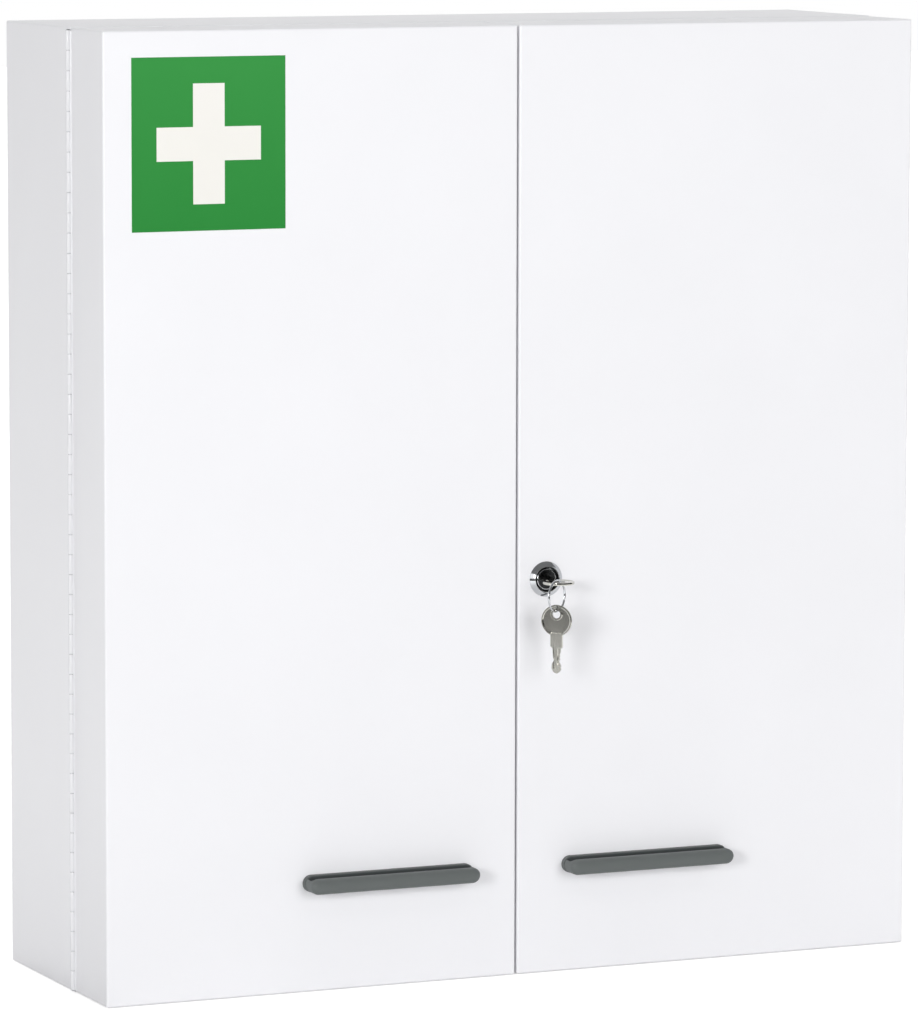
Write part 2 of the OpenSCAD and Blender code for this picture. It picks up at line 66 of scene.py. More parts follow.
def add_node(tree, kind, inputs=None, **settings):
    """Adds a node with its settings; an input is a value or a socket to link from."""
    node = tree.nodes.new(kind)
    for name, value in settings.items():
        setattr(node, name, value)
    for name, value in (inputs or {}).items():
        socket = node.inputs[name]
        if isinstance(value, bpy.types.NodeSocket):
            tree.links.new(value, socket)
        else:
            socket.default_value = value
    return node


def cells_of(size):
    """Texture scale that gives features of this many millimetres on Object coordinates."""
    return 1000 / size


def new_material(name):
    material = bpy.data.materials.new(name)
    material.use_nodes = True
    material.node_tree.nodes.clear()
    return material, material.node_tree


def own_place(tree):
    return add_node(tree, "ShaderNodeTexCoord").outputs["Object"]


def noise(tree, place, size, detail):
    """Noise with features of this many millimetres."""
    cells = {"Vector": place, "Scale": cells_of(size), "Detail": detail}
    return add_node(tree, "ShaderNodeTexNoise", cells).outputs[0]


def ranged(tree, value, low, high):
    """Turns a value from 0 to 1 into one from low to high."""
    return add_node(tree, "ShaderNodeMapRange", {"Value": value, "To Min": low, "To Max": high}).outputs[0]


def toned(tree, share, first, second):
    """Mixes two sRGB tones by a share from 0 to 1."""
    mix = add_node(tree, "ShaderNodeMix", {"Factor": share}, data_type="RGBA")
    mix.inputs["A"].default_value = linear(first)
    mix.inputs["B"].default_value = linear(second)
    return mix.outputs["Result"]


def surface(tree, tone, rough, height, bite, depth, **rest):
    """Closes a material with a shader that a bump of this many millimetres breaks up."""
    relief = {"Height": height, "Strength": bite, "Distance": depth * MM}
    bump = add_node(tree, "ShaderNodeBump", relief).outputs[0]
    finish = {"Base Color": tone, "Roughness": rough, "Normal": bump, **rest}
    close_material(tree, add_node(tree, "ShaderNodeBsdfPrincipled", finish))


def close_material(tree, shader):
    add_node(tree, "ShaderNodeOutputMaterial", {"Surface": shader.outputs[0]})


def new_mesh_object(name, verts, faces):
    """Object at the origin from millimetre points, with its faces turned outwards."""
    mesh = bpy.data.meshes.new(name)
    mesh.from_pydata([tuple(c * MM for c in v) for v in verts], [], faces)
    work = bmesh.new()
    work.from_mesh(mesh)
    bmesh.ops.remove_doubles(work, verts=work.verts, dist=1e-7)
    bmesh.ops.recalc_face_normals(work, faces=work.faces)
    work.to_mesh(mesh)
    work.free()
    made = bpy.data.objects.new(name, mesh)
    bpy.context.scene.collection.objects.link(made)
    return made


def applied(thing):
    """Replaces the object's mesh by what its modifiers make of it, and removes them."""
    shape = bpy.data.meshes.new_from_object(thing.evaluated_get(bpy.context.evaluated_depsgraph_get()))
    thing.modifiers.clear()
    old = thing.data
    thing.data = shape
    bpy.data.meshes.remove(old)
    return thing


def carved(thing, cutter, operation="DIFFERENCE"):
    """Cuts by another object, or keeps what the two share; the other one is used up."""
    step = thing.modifiers.new("carve", "BOOLEAN")
    step.operation = operation
    step.solver = "EXACT"
    step.object = cutter
    applied(thing)
    shape = cutter.data
    bpy.data.objects.remove(cutter)
    bpy.data.meshes.remove(shape)
    return thing


def softened(thing, width, segments=2, angle=30):
    """Rounds every edge sharper than the angle by this many millimetres."""
    step = thing.modifiers.new("soften", "BEVEL")
    step.width = width * MM
    step.segments = segments
    step.limit_method = "ANGLE"
    step.angle_limit = math.radians(angle)
    return applied(thing)


def block(name, first, second, low, high):
    """Block between two outlines of as many points, at two heights."""
    count = len(first)
    verts = [(x, y, low) for x, y in first] + [(x, y, high) for x, y in second]
    faces = [tuple(range(count)), tuple(range(count, 2 * count))]
    faces += [(i, (i + 1) % count, count + (i + 1) % count, count + i) for i in range(count)]
    return new_mesh_object(name, verts, faces)


def prism(name, outline, low, high):
    """Straight block over a closed outline in the XY plane."""
    return block(name, outline, outline, low, high)


def tapered(name, outline, low, high, centre, grow):
    """Block like prism, with its second outline scaled about a centre."""
    cx, cy = centre
    upper = [(cx + (x - cx) * grow, cy + (y - cy) * grow) for x, y in outline]
    return block(name, outline, upper, low, high)


def turned(name, profile, x, z, segments=96, closed=False):
    """Turned part about an axis out of the doors: profile of (radius, distance out of their face)."""
    verts = []
    rings = []
    for r, out in profile:
        ring = []
        for i in range(1 if r == 0 else segments):
            a = 2 * math.pi * i / segments
            ring.append(len(verts))
            verts.append((x + r * math.cos(a), FRONT_Y - out, z + r * math.sin(a)))
        rings.append(ring)
    faces = []
    pairs = list(zip(rings, rings[1:] + rings[:1])) if closed else list(zip(rings, rings[1:]))
    for a, b in pairs:
        for i in range(segments):
            corners = [a[i % len(a)], a[(i + 1) % len(a)], b[(i + 1) % len(b)], b[i % len(b)]]
            faces.append(tuple(dict.fromkeys(corners)))
    return new_mesh_object(name, verts, faces)


def standing(x, y, z, degrees=0.0, axis="X"):
    """Matrix that turns about an axis and moves by millimetres."""
    turn = Matrix.Rotation(math.radians(degrees), 4, axis)
    return Matrix.Translation((x * MM, y * MM, z * MM)) @ turn


def placed(thing, matrix):
    """Moves the mesh itself, so that the object stays at the origin."""
    thing.data.transform(matrix)
    return thing


def mirrored(thing, name, axis, middle=0.0):
    """Mirror image of a piece across a plane at right angles to one axis."""
    shape = thing.data.copy()
    for v in shape.vertices:
        v.co[axis] = 2 * middle * MM - v.co[axis]
    shape.flip_normals()
    made = bpy.data.objects.new(name, shape)
    bpy.context.scene.collection.objects.link(made)
    return made


def joined(name, things):
    """One mesh from several objects, which are used up."""
    work = bmesh.new()
    for thing in things:
        work.from_mesh(thing.data)
    shape = bpy.data.meshes.new(name)
    work.to_mesh(shape)
    work.free()
    for thing in things:
        old = thing.data
        bpy.data.objects.remove(thing)
        bpy.data.meshes.remove(old)
    made = bpy.data.objects.new(name, shape)
    bpy.context.scene.collection.objects.link(made)
    return made


def keep_flats(mesh, least):
    """Keeps faces above this many square millimetres flat, so that only their rounding curves."""
    work = bmesh.new()
    work.from_mesh(mesh)
    for edge in work.edges:
        sides = edge.link_faces
        if len(sides) == 2 and max(face.calc_area() for face in sides) > least * MM * MM:
            if sides[0].normal.angle(sides[1].normal, 0.0) > math.radians(2):
                edge.smooth = False
    work.to_mesh(mesh)
    work.free()


def fitted(thing, body, material, nodes=(), angle=32):
    """Shades a finished piece, gives it its material, and lets it ride in place of its nodes."""
    mesh = thing.data
    mesh.materials.clear()
    mesh.materials.append(material)
    for face in mesh.polygons:
        face.use_smooth = True
    mesh.set_sharp_from_angle(angle=math.radians(angle))
    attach(thing, body)
    if nodes:
        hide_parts(*nodes)
    return thing


def oblong(half_x, half_y):
    """Corners of a rectangle round the origin."""
    return [(-half_x, -half_y), (half_x, -half_y), (half_x, half_y), (-half_x, half_y)]


def clamped(value):
    return max(0.0, min(1.0, value))


def arc(cx, cy, r, start, end, steps):
    """Points on a circle, with angles in degrees."""
    turns = [math.radians(start + (end - start) * i / steps) for i in range(steps + 1)]
    return [(cx + r * math.cos(a), cy + r * math.sin(a)) for a in turns]


# Camera: stands to the left of the cabinet and a little above its middle

def make_camera():
    yaw = math.radians(23.894)
    pitch = math.radians(6.737)
    roll = math.radians(0.123)
    ahead = Vector((math.sin(yaw) * math.cos(pitch), math.cos(yaw) * math.cos(pitch), -math.sin(pitch)))
    level = ahead.cross(Vector((0, 0, 1))).normalized()
    upright = level.cross(ahead)
    right = level * math.cos(roll) + upright * math.sin(roll)
    up = upright * math.cos(roll) - level * math.sin(roll)
    lens = bpy.data.cameras.new("camera")
    lens.lens = 214.993
    lens.sensor_width = 36
    camera = bpy.data.objects.new("camera", lens)
    turn = Matrix((right, up, -ahead)).transposed().to_4x4()
    camera.matrix_world = Matrix.Translation((-1.831526, -4.128491, 0.868237)) @ turn
    bpy.context.scene.collection.objects.link(camera)
    bpy.context.scene.camera = camera


# Studio: pale floor, white surround, soft lamps and a dark room in front for the metal to mirror

def seen_directly(tree):
    """1 for rays from the camera and for mirrored or transmitted ones."""
    path = add_node(tree, "ShaderNodeLightPath").outputs
    two = {0: path["Is Camera Ray"], 1: path["Is Glossy Ray"]}
    pair = add_node(tree, "ShaderNodeMath", two, operation="MAXIMUM")
    every = {0: pair.outputs[0], 1: path["Is Transmission Ray"]}
    return add_node(tree, "ShaderNodeMath", every, operation="MAXIMUM").outputs[0]


def make_world():
    world = bpy.data.worlds.new("white_studio")
    world.use_nodes = True
    bpy.context.scene.world = world
    tree = world.node_tree
    tree.nodes.clear()
    strength = ranged(tree, seen_directly(tree), WORLD_LIGHT, 1.0)
    light = add_node(tree, "ShaderNodeBackground", {"Color": linear("#ffffff"), "Strength": strength})
    add_node(tree, "ShaderNodeOutputWorld", {"Surface": light.outputs[0]})


def floor_paint():
    """Matt white studio floor that the camera sees at the backdrop's white, with the shadow kept."""
    material, tree = new_material("matt_white_studio_floor")
    matt = add_node(tree, "ShaderNodeBsdfDiffuse", {"Color": linear("#ececec"), "Roughness": 0.5})
    away = add_node(tree, "ShaderNodeVectorMath", {0: own_place(tree)}, operation="LENGTH").outputs["Value"]
    # The floor meets the white surround without a horizon
    rise = {"Value": away, "From Min": 0.8, "From Max": 3.0, "To Min": FLOOR_LIFT, "To Max": 1.0}
    seen = add_node(tree, "ShaderNodeMapRange", rise)
    # Its mirror image stays at the surround's white, and is darker close to the cabinet: a painted shade
    # under the cabinet, for the metal to mirror
    mirrored_shade_dip = {"Value": away, "From Min": 0.35, "From Max": 1.0, "To Min": 0.25, "To Max": 0.76}
    mirrored = add_node(tree, "ShaderNodeMapRange", mirrored_shade_dip)
    camera_ray = add_node(tree, "ShaderNodeLightPath").outputs["Is Camera Ray"]
    levels = {"Factor": camera_ray, "A": mirrored.outputs[0], "B": seen.outputs[0]}
    level = add_node(tree, "ShaderNodeMix", levels)
    both = {0: seen_directly(tree), 1: level.outputs[0]}
    lift = add_node(tree, "ShaderNodeMath", both, operation="MULTIPLY")
    glow = add_node(tree, "ShaderNodeEmission", {"Color": linear("#ffffff"), "Strength": lift.outputs[0]})
    close_material(tree, add_node(tree, "ShaderNodeAddShader", {0: matt.outputs[0], 1: glow.outputs[0]}))
    return material


def matt_cloth(name, tone):
    material, tree = new_material(name)
    close_material(tree, add_node(tree, "ShaderNodeBsdfDiffuse", {"Color": linear(tone), "Roughness": 1.0}))
    return material


def glowing_card(name, strength):
    material, tree = new_material(name)
    glow = add_node(tree, "ShaderNodeEmission", {"Color": linear("#ffffff"), "Strength": strength})
    close_material(tree, glow)
    return material


def mirrored_only(thing, material):
    """Makes a sheet a part of the studio that only mirrored rays meet."""
    thing.data.materials.append(material)
    thing.visible_camera = False
    thing.visible_diffuse = False
    thing.visible_shadow = False


def curtain(name, profile, start, end, steps):
    """Sheet swept round the cabinet: profile of (distance, height), from one bearing to another."""
    verts = []
    faces = []
    row = len(profile)
    for i in range(steps + 1):
        a = math.radians(start + (end - start) * i / steps)
        verts += [(math.sin(a) * r, -math.cos(a) * r, z) for r, z in profile]
    for i in range(steps):
        for j in range(row - 1):
            faces.append((i * row + j, i * row + j + 1, (i + 1) * row + j + 1, (i + 1) * row + j))
    return new_mesh_object(name, verts, faces)


def make_stage():
    # The floor lies a hair under the cabinet
    corners = [(x, y, -0.2) for x, y in oblong(14000, 14000)]
    floor = new_mesh_object("studio_floor", corners, [(0, 1, 2, 3)])
    floor.data.materials.append(floor_paint())
    # Painted reflections, which only the metal mirrors and which light nothing: dark room behind the
    # camera, grey carpet left of it, grey ceiling all round, and two glowing cards
    room = curtain("dark_room", [(1500, 1.0), (9000, 1.0), (9000, 3500)], -50, 88, 24)
    mirrored_only(room, matt_cloth("dark_studio_cloth", "#2b2b2b"))
    carpet = curtain("grey_carpet", [(1500, 1.0), (9000, 1.0)], -82, -50, 8)
    mirrored_only(carpet, matt_cloth("grey_studio_carpet", "#6c6c6c"))
    ceiling = curtain("grey_ceiling", [(6500, 2900), (6500, 5000), (0, 7000)], 0, 360, 48)
    mirrored_only(ceiling, matt_cloth("grey_studio_ceiling", "#b4b4b4"))
    high = 4600
    panel = [(-1650, -1500, high), (-800, -1500, high), (-800, 2500, high), (-1650, 2500, high)]
    sheet = new_mesh_object("reflection_only_ceiling_panel", panel, [(0, 1, 2, 3)])
    mirrored_only(sheet, glowing_card("reflection_only_glow_panel", 0.8))
    side_card = curtain("reflection_only_side_card", [(4300, 380), (4300, 1850)], -69, -53, 4)
    mirrored_only(side_card, glowing_card("reflection_only_glow_card", 1.3))


def make_lamp(name, place, aim, size, power, mirrored=True):
    """Square soft lamp from one point towards another, in metres; fill lamps keep out of the gloss."""
    light = bpy.data.lights.new(name, "AREA")
    light.shape = "SQUARE"
    light.size = size
    light.energy = power
    lamp = bpy.data.objects.new(name, light)
    lamp.location = place
    lamp.rotation_euler = (Vector(aim) - Vector(place)).to_track_quat("-Z", "Y").to_euler()
    lamp.visible_camera = False
    lamp.visible_glossy = mirrored
    bpy.context.scene.collection.objects.link(lamp)


def make_studio():
    make_world()
    make_stage()
    middle = (0, 0, 0.35)
    make_lamp("left_softbox", (-3.3, -3.1, 1.05), middle, 1.15, 69)
    make_lamp("front_fill", (0.8, -4.6, 1.1), middle, 2.4, 81, False)
    make_lamp("rear_fill", (0.3, 2.2, 3.6), middle, 1.0, 62, False)
    bpy.context.scene.view_settings.view_transform = "Standard"


# Materials

def white_powder_coat(name, smooth, dull):
    """Polyester powder coat baked on steel: a fine orange peel breaks up its soft gloss."""
    material, tree = new_material(name)
    place = own_place(tree)
    # Orange peel about 1.4 mm across, and finer grain left by the powder
    peel = noise(tree, place, 1.4, 2.0)
    grain = noise(tree, place, 0.35, 1.0)
    # Film thickness drifts over a hand's breadth
    tone = toned(tree, noise(tree, place, 110, 2.0), "#f1f1f4", "#f5f5f8")
    rough = ranged(tree, peel, smooth, dull)
    both = {0: grain, 1: 0.3, 2: peel}
    height = add_node(tree, "ShaderNodeMath", both, operation="MULTIPLY_ADD").outputs[0]
    surface(tree, tone, rough, height, 0.25, 0.04, IOR=1.5)
    return material


def metal(name, pale, deep, smooth, dull, patch, grain, bite):
    """Metal with a mottled tone in patches and a fine grain in its gloss, both in millimetres."""
    material, tree = new_material(name)
    place = own_place(tree)
    tone = toned(tree, noise(tree, place, patch, 3.0), deep, pale)
    fine = noise(tree, place, grain, 2.0)
    surface(tree, tone, ranged(tree, fine, smooth, dull), fine, bite, 0.02, Metallic=1.0)
    return material


def bright_zinc_plate():
    """Bright zinc plate on steel: cool grey, with a cloudy, barely brushed gloss."""
    return metal("bright_zinc_plate", "#c9ccd0", "#b4b7bc", 0.24, 0.4, 4.0, 0.5, 0.15)


def polished_chrome():
    """Polished chrome on die-cast zinc: a clean mirror with the least haze."""
    return metal("polished_chrome", "#d2d4d7", "#c8cacd", 0.04, 0.1, 3.0, 0.6, 0.03)


def dark_nickel():
    """Darkened nickel on the lock's plug: smoky and only half bright."""
    return metal("dark_nickel", "#626465", "#505253", 0.16, 0.3, 2.0, 0.4, 0.1)


def recess_shade_zinc():
    """Dark die-cast zinc deep in the recess of the lock, with hardly any gloss: painted shade for the dark
    inside of the recess.
    """
    return metal("recess_shade_zinc", "#3a3b3c", "#2b2c2d", 0.42, 0.6, 1.5, 0.4, 0.2)


def nickel_brass():
    """Nickel-plated brass key: bright tumbled bow, duller collar and blade with milled lines along them."""
    material, tree = new_material("nickel_brass")
    place = own_place(tree)
    tone = toned(tree, noise(tree, place, 3, 3.0), "#c6c5bd", "#d2d1ca")
    # Tumbling marks about 0.25 mm across, drawn out along the blade where the cutter ran
    marks = noise(tree, place, 0.25, 2.0)
    along = add_node(tree, "ShaderNodeAttribute", attribute_name="key_length").outputs["Vector"]
    lines = noise(tree, along, 0.35, 2.0)
    milled = add_node(tree, "ShaderNodeAttribute", attribute_name="milled").outputs["Fac"]
    gloss = {"Factor": milled, "A": ranged(tree, marks, 0.1, 0.17), "B": ranged(tree, lines, 0.13, 0.22)}
    rough = add_node(tree, "ShaderNodeMix", gloss).outputs[0]
    height = add_node(tree, "ShaderNodeMix", {"Factor": milled, "A": marks, "B": lines}).outputs[0]
    surface(tree, tone, rough, height, 0.12, 0.03, Metallic=1.0)
    return material


def moulded_plastic(name, pale, deep, smooth, dull, spark, bite):
    """Moulded plastic with the spark-eroded texture of its tool, in millimetres."""
    material, tree = new_material(name)
    place = own_place(tree)
    pits = noise(tree, place, spark, 3.0)
    tone = toned(tree, noise(tree, place, 25, 2.0), deep, pale)
    # Painted shade: inside the groove the colour darkens towards a near-black grey, standing in for the
    # shade that falls there
    groove_shade_share = add_node(tree, "ShaderNodeAttribute", attribute_name="groove").outputs["Fac"]
    groove_shaded_tone = add_node(tree, "ShaderNodeMix", {"Factor": groove_shade_share, "A": tone}, data_type="RGBA")
    groove_shaded_tone.inputs["B"].default_value = linear("#3c4041")
    rough = ranged(tree, pits, smooth, dull)
    surface(tree, groove_shaded_tone.outputs["Result"], rough, pits, bite, 0.06, IOR=1.53)
    return material


def grey_abs():
    """Matt grey ABS of the handles, moulded in a spark-eroded tool."""
    return moulded_plastic("grey_abs", "#636867", "#5f6463", 0.46, 0.62, 0.3, 0.35)


def black_nylon():
    """Black glass-filled nylon of the bolt knobs: satin, with a faint flow."""
    return moulded_plastic("black_nylon", "#2a2a2c", "#232325", 0.36, 0.5, 0.3, 0.25)


def black_rubber():
    """Soft black rubber of the door bumpers: dusty and matt."""
    return moulded_plastic("black_rubber", "#2f2f31", "#262628", 0.62, 0.78, 0.5, 0.4)


def sign_vinyl(name, pale, deep):
    """Printed self-adhesive vinyl: satin, with the slightest dot grain, a tone that drifts, and a painted
    sheen that pales it towards its top.
    """
    material, tree = new_material(name)
    place = own_place(tree)
    drift = noise(tree, place, 60, 1.0)
    dots = noise(tree, place, 0.6, 2.0)
    # Painted sheen: paler towards the upper edge of the sign, about 120 mm above the lower one, standing in
    # for the light's gloss on the vinyl
    height = add_node(tree, "ShaderNodeSeparateXYZ", {"Vector": place}).outputs["Z"]
    rise = {"Value": height, "From Min": 0.555, "From Max": 0.675, "To Max": 0.8}
    painted_sheen = add_node(tree, "ShaderNodeMapRange", rise).outputs[0]
    blend = {0: drift, 1: 0.2, 2: painted_sheen}
    share = add_node(tree, "ShaderNodeMath", blend, operation="MULTIPLY_ADD").outputs[0]
    tone = toned(tree, share, deep, pale)
    surface(tree, tone, ranged(tree, dots, 0.34, 0.46), dots, 0.12, 0.02, IOR=1.5)
    return material


# Repeated pieces: one tree sets copies of a piece in a straight row

def row_tree():
    tree = bpy.data.node_groups.new("row_of_pieces", "GeometryNodeTree")
    face = tree.interface
    face.new_socket("Piece", in_out="INPUT", socket_type="NodeSocketGeometry")
    face.new_socket("Count", in_out="INPUT", socket_type="NodeSocketInt")
    face.new_socket("Step", in_out="INPUT", socket_type="NodeSocketVector")
    face.new_socket("Finish", in_out="INPUT", socket_type="NodeSocketMaterial")
    face.new_socket("Row", in_out="OUTPUT", socket_type="NodeSocketGeometry")
    given = add_node(tree, "NodeGroupInput").outputs
    line = add_node(tree, "GeometryNodeMeshLine", {"Count": given["Count"], "Offset": given["Step"]})
    spread = {"Points": line.outputs[0], "Instance": given["Piece"]}
    copies = add_node(tree, "GeometryNodeInstanceOnPoints", spread)
    real = add_node(tree, "GeometryNodeRealizeInstances", {"Geometry": copies.outputs[0]})
    finished = {"Geometry": real.outputs[0], "Material": given["Finish"]}
    coated = add_node(tree, "GeometryNodeSetMaterial", finished)
    add_node(tree, "NodeGroupOutput", {"Row": coated.outputs[0]})
    return tree


ROW = row_tree()


def in_a_row(thing, count, step, material):
    """Repeats a piece at equal steps of millimetres."""
    mod = thing.modifiers.new("row", "NODES")
    mod.node_group = ROW
    keys = {item.name: item.identifier for item in ROW.interface.items_tree if item.in_out == "INPUT"}
    mod[keys["Count"]] = count
    mod[keys["Step"]] = tuple(s * MM for s in step)
    mod[keys["Finish"]] = material
    return applied(thing)


# Hinges: rolled knuckles in a row on each leaf

def hinge_leaf(name, first, coat):
    """Left leaf with its strip towards the back, and every second knuckle from the first."""
    x, y = -HINGE_X, HINGE_Y
    pitch, low, count = 14.5, 2.0, 24
    high = low + 2 * count * pitch
    inner, outer, ease = 1.05, 2.0, 0.22
    play = 0.15
    height = pitch - 2 * play
    base = low + first * pitch + play
    # Knuckle: the end of the leaf rolled round the pin, with its cut ends eased
    wall = [(inner, 0), (outer - ease, 0), (outer - 0.06, 0.07), (outer, ease), (outer, height - ease)]
    wall += [(outer - 0.06, height - 0.07), (outer - ease, height), (inner, height)]
    segments = 28
    verts = []
    faces = []
    for i in range(segments):
        a = 2 * math.pi * i / segments
        for r, z in wall:
            # The roll is a little fuller towards the seam between door and body, which it hides
            full = 0.15 if r > 1.5 else 0.0
            verts.append((x + full + (r + full) * math.cos(a), y + (r + full) * math.sin(a), base + z))
    row = len(wall)
    for i in range(segments):
        n = (i + 1) % segments
        for j in range(row):
            k = (j + 1) % row
            faces.append((i * row + j, n * row + j, n * row + k, i * row + k))
    knuckle = new_mesh_object("knuckle", verts, faces)
    # Neck between the roll and the flat of the leaf, hollowed where it leaves the roll
    neck = [(1.2, 0.2), (2.6, 0.2), (2.6, 1.0), (2.25, 1.02), (1.95, 1.14), (1.7, 1.32), (1.2, 1.6)]
    tongue = prism("neck", [(x + u, y + v) for u, v in neck], base + 0.1, base + height - 0.1)
    rolls = in_a_row(joined("rolls", [knuckle, tongue]), count, (0, 0, 2 * pitch), coat)
    strip = [(x + 2.3, y + 0.2), (x + 14.373, y + 0.2), (x + 14.373, y + 1.0), (x + 2.3, y + 1.0)]
    flat = softened(prism("strip", strip, low, high), 0.12)
    # Lip that closes the seam between the rolls and the folded sheet
    edge = arc(0, 0, 2.37, 80, 44, 6)
    edge += [(1.85, 1.75), (1.55, 2.2), (1.42, 2.6), (1.4, 3.05), (1.34, 3.0)]
    lip = prism("lip", [(x + u, y + v) for u, v in edge], low + 0.3, high - 0.3)
    return joined(name, [rolls, flat, lip])


def make_hinges(coat, zinc):
    body_leaf = hinge_leaf("left_body_hinge_leaf", 0, coat)
    door_leaf = mirrored(hinge_leaf("leaf_to_turn", 1, coat), "left_door_hinge_leaf", 1, HINGE_Y)
    bpy.data.objects.remove(bpy.data.objects["leaf_to_turn"])
    right_body_leaf = mirrored(body_leaf, "right_body_hinge_leaf", 0)
    right_door_leaf = mirrored(door_leaf, "right_door_hinge_leaf", 0)
    fitted(body_leaf, "cabinet", coat, ["left_hinge_body_leaf"])
    fitted(right_body_leaf, "cabinet", coat, ["right_hinge_body_leaf"])
    fitted(door_leaf, "left_door", coat, ["left_hinge_door_leaf"])
    fitted(right_door_leaf, "right_door", coat, ["right_hinge_door_leaf"])
    # Pins with riveted heads
    head = [(0.0, 0.6), (0.6, 0.56), (1.1, 0.42), (1.45, 0.2), (1.6, 0.0), (1.0, 0.0)]
    line = [(r, 698.0 + h) for r, h in head] + [(r, 2.0 - h) for r, h in reversed(head)]
    for side, node in ((-1, "left_hinge_pin"), (1, "right_hinge_pin")):
        pin = turned("riveted_" + node, line, 0, 0, 24)
        swing = standing(side * HINGE_X, HINGE_Y, 0, -90)
        placed(pin, swing @ Matrix.Translation((0, -FRONT_Y * MM, 0)))
        fitted(pin, "cabinet", zinc, [node])


# Handles: a rail on the door, a shadow gap and a bar in front, with a finger groove along the top

def handle_mesh(name, side):
    middle_x, middle_z = side * HANDLE_X, HANDLE_Z
    straight = 60.75
    # The groove: its middle out of the door, and half its width
    groove_at, groove_half = 8.7, 4.3
    # Profile from the door outwards: distance from the middle plane, and out of the door
    rail = [(6.0, 0.0), (6.25, 0.25), (6.25, 3.9)] + arc(5.75, 3.9, 0.5, 10, 90, 5)
    gap = [(5.5, 4.4), (5.45, 4.42), (5.45, 4.5), (5.45, 4.62), (5.45, 4.8), (5.45, 5.0), (5.47, 5.19)]
    lip = [(5.65, 5.2)] + arc(5.7, 5.55, 0.35, -80, 0, 5)
    side_wall = [(6.05, groove_at - groove_half * math.cos(math.radians(t))) for t in range(46, 172, 6)]
    # The front is crowned, and rolls over into the sides
    front = [(6.05, 13.8), (6.05, 14.6)]
    for t in range(6, 91, 7):
        c, d = math.cos(math.radians(t)), math.sin(math.radians(t))
        front.append((6.05 * c ** 0.8, 15.0 + 5.2 * d ** 0.8))
    front.append((0.0, 20.2))
    profile = rail + gap + lip + side_wall + front
    # Stations round the stadium: angle of the section, and the middle of its round end
    steps = 40
    stations = [(90, -straight), (90, straight)]
    stations += [(90 - 180 * i / steps, straight) for i in range(1, steps + 1)]
    stations += [(-90, -straight)]
    stations += [(-90 - 180 * i / steps, -straight) for i in range(1, steps)]
    verts = []
    for angle, x in stations:
        a = math.radians(angle)
        lift = math.sin(a)
        # The groove runs out in the round ends
        share = clamped((lift - 0.5) / 0.4)
        deep = 6.2 * share * share * (3 - 2 * share)
        for r, out in profile:
            if lift > 0:
                # The bar stands a little lower than the rail
                r *= 1 - 0.13 * lift * lift * clamped((out - groove_at) / groove_half)
            across = abs(out - groove_at) / groove_half
            if lift > 0.05 and across < 1:
                floor = (6.25 - deep * (1 - across ** 2.6) ** (1 / 2.6)) / lift
                # A smooth minimum rounds the edges of the groove
                blend = 0.45 if out > 6 else 0.05
                mix = clamped(0.5 + (r - floor) / (2 * blend))
                r = r * (1 - mix) + floor * mix - blend * mix * (1 - mix)
            verts.append((middle_x + x + r * math.cos(a), FRONT_Y - out, middle_z + r * lift))
    row = len(profile)
    faces = []
    for i in range(len(stations)):
        n = (i + 1) % len(stations)
        for j in range(row - 1):
            faces.append((i * row + j, n * row + j, n * row + j + 1, i * row + j + 1))
    faces.append(tuple(i * row for i in range(len(stations))))
    handle = new_mesh_object(name, verts, faces)
    # How far each point lies down inside the groove, for the painted shade there
    groove = handle.data.attributes.new("groove", "FLOAT", "POINT")
    for v in handle.data.vertices:
        x, y, z = v.co / MM
        height = math.hypot(max(0.0, abs(x - middle_x) - straight), z - middle_z)
        inner_wall = 4.3 < FRONT_Y - y < 9.5 and z > middle_z
        groove.data[v.index].value = clamped(5.9 - height) if inner_wall else 0.0
    return handle


def pan_screw(name, head_r, head_t, shank_r, shank_l, x, z, out):
    """Pan-head screw with a cross recess, whose head stands inwards from the given depth."""
    head = [(0.0, -head_t), (head_r * 0.45, -head_t), (head_r * 0.8, -head_t * 0.86)]
    head += [(head_r * 0.96, -head_t * 0.55), (head_r, -head_t * 0.2), (head_r * 0.97, 0.0)]
    head += [(shank_r, 0.0), (shank_r, shank_l - 0.8)]
    head += [(shank_r * 0.7, shank_l), (0.0, shank_l)]
    screw = turned(name, [(r, out + h) for r, h in head], x, z, 40)
    arm, half, deep = head_r * 0.62, head_r * 0.12, head_t * 0.55
    cross = [(half, arm), (half, half), (arm, half), (arm, -half), (half, -half), (half, -arm)]
    cross += [(-half, -arm), (-half, -half), (-arm, -half), (-arm, half), (-half, half), (-half, arm)]
    cutter = prism("cross_recess", cross, -deep, 1.0)
    return carved(screw, placed(cutter, standing(x, FRONT_Y - out + head_t, z, -90)))


def make_handles(grey, zinc):
    for side, word in ((-1, "left"), (1, "right")):
        handle = handle_mesh(word + "_bar_handle", side)
        fitted(handle, word + "_door", grey, [word + "_handle"], 40)
        first_x = side * HANDLE_X - HANDLE_SCREW_STEP / 2
        screw = pan_screw(word + "_pan_screws", 4.0, 2.4, 1.75, 12.9, first_x, HANDLE_Z, -1.0)
        pair = in_a_row(screw, 2, (HANDLE_SCREW_STEP, 0, 0), zinc)
        fitted(pair, word + "_door", zinc, [word + "_handle_screws"])


# Cam lock

def on_lock(name, profile, segments=96, closed=False):
    """Turned part on the axis of the lock."""
    return turned(name, profile, LOCK_X, LOCK_Z, segments, closed)


